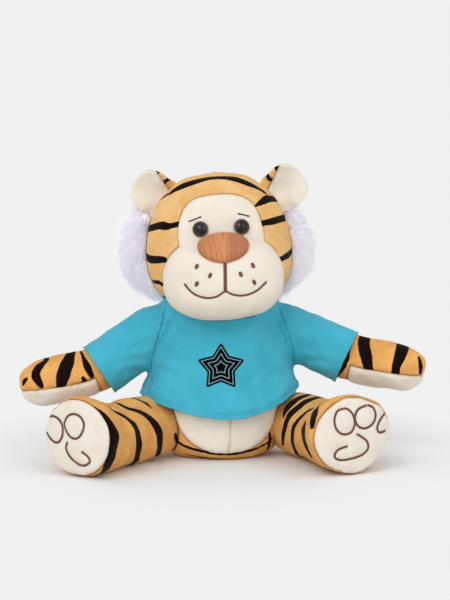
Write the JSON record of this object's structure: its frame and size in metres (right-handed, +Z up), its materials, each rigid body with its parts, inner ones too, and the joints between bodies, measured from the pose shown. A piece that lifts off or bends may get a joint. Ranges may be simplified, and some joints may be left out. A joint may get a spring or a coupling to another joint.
{
  "type": "plush tiger",
  "caption": "Seated stuffed tiger in a short-sleeved T-shirt, with a turning and nodding head, folding ears, and arms, legs and a tail that swing on their seams.",
  "frame": {"origin": "middle of the seat's flat underside, on the surface that the toy sits on", "axes": "+Z up, the toy looks along -Y, +X to the viewer's right along the spread arms"},
  "size_m": [0.2624, 0.1862, 0.1876],
  "materials": {
    "orange_plush": "short velvety pile, light orange on the head and deeper on the limbs, with black stripes",
    "cream_plush": "short velvety cream pile",
    "white_fur": "long soft white pile with a faint lavender cast",
    "turquoise_jersey": "matt turquoise cotton jersey with a black print on the front",
    "brown_thread": "brown satin-stitched thread",
    "eye_plastic": "glossy black-brown moulded plastic",
    "washer_plastic": "pale moulded plastic",
    "polyester_fibre": "white polyester fibre filling"
  },
  "bodies": {
    "torso": {"back_cover": "orange_plush", "left_belly_panel": "cream_plush", "right_belly_panel": "cream_plush", "torso_filling": "polyester_fibre", "shirt_front": "turquoise_jersey", "shirt_back": "turquoise_jersey"},
    "neck": {"neck_filling": "polyester_fibre"},
    "head": {"crown_cover": "orange_plush", "face_panel": "cream_plush", "head_filling": "polyester_fibre", "muzzle_cover": "cream_plush", "muzzle_filling": "polyester_fibre", "nose": "brown_thread", "left_eye": "eye_plastic", "right_eye": "eye_plastic", "left_eye_washer": "washer_plastic", "right_eye_washer": "washer_plastic", "left_cheek_ruff": "white_fur", "right_cheek_ruff": "white_fur"},
    "left_ear": {"left_ear_front": "cream_plush", "left_ear_back": "orange_plush"},
    "left_arm": {"left_arm_cover": "orange_plush", "left_palm_panel": "cream_plush", "left_arm_filling": "polyester_fibre", "left_sleeve": "turquoise_jersey"},
    "left_leg": {"left_leg_cover": "orange_plush", "left_sole": "cream_plush", "left_leg_filling": "polyester_fibre"},
    "right_ear": {"right_ear_front": "cream_plush", "right_ear_back": "orange_plush"},
    "right_arm": {"right_arm_cover": "orange_plush", "right_palm_panel": "cream_plush", "right_arm_filling": "polyester_fibre", "right_sleeve": "turquoise_jersey"},
    "right_leg": {"right_leg_cover": "orange_plush", "right_sole": "cream_plush", "right_leg_filling": "polyester_fibre"},
    "tail": {"tail_upper_panel": "orange_plush", "tail_lower_panel": "orange_plush", "tail_filling": "polyester_fibre"}
  },
  "joints": [
    {"name": "head_turn", "type": "hinge", "parent": "torso", "child": "neck", "pos_m": [0.0002, 0.004, 0.099], "axis": [0, 0, 1], "range_deg": [-20, 20], "stiffness_Nm_per_rad": 0.12},
    {"name": "head_nod", "type": "hinge", "parent": "neck", "child": "head", "pos_m": [0.0002, 0.004, 0.099], "axis": [0.9967, 0.0627, 0.0523], "range_deg": [-12, 8], "stiffness_Nm_per_rad": 0.3, "springref_deg": -1.15},
    {"name": "left_arm_raise", "type": "hinge", "parent": "torso", "child": "left_arm", "pos_m": [-0.04477, -0.00528, 0.07999], "axis": [-0.1564, 0.9877, 0], "range_deg": [-3, 35], "stiffness_Nm_per_rad": 0.06, "springref_deg": 2.86},
    {"name": "right_arm_raise", "type": "hinge", "parent": "torso", "child": "right_arm", "pos_m": [0.04449, 0.00726, 0.07999], "axis": [-0.1564, -0.9877, 0], "range_deg": [-10, 35], "stiffness_Nm_per_rad": 0.06, "springref_deg": 2.86},
    {"name": "left_leg_swing", "type": "hinge", "parent": "torso", "child": "left_leg", "pos_m": [-0.04543, -0.01807, 0.025], "axis": [0, 0, 1], "range_deg": [-20, 12], "stiffness_Nm_per_rad": 0.1},
    {"name": "right_leg_swing", "type": "hinge", "parent": "torso", "child": "right_leg", "pos_m": [0.04865, -0.00485, 0.025], "axis": [0, 0, -1], "range_deg": [-20, 12], "stiffness_Nm_per_rad": 0.1},
    {"name": "left_ear_fold", "type": "hinge", "parent": "head", "child": "left_ear", "pos_m": [-0.04068, 0.00343, 0.16692], "axis": [0.6128, -0.2973, 0.7322], "range_deg": [-15, 15], "stiffness_Nm_per_rad": 0.01},
    {"name": "right_ear_fold", "type": "hinge", "parent": "head", "child": "right_ear", "pos_m": [0.03574, 0.00824, 0.16792], "axis": [0.6898, 0.1845, -0.7001], "range_deg": [-15, 15], "stiffness_Nm_per_rad": 0.01},
    {"name": "tail_swing", "type": "hinge", "parent": "torso", "child": "tail", "pos_m": [-0.00508, 0.03612, 0.0125], "axis": [0, -0.0704, -0.9975], "range_deg": [-25, 25], "stiffness_Nm_per_rad": 0.02}
  ]
}
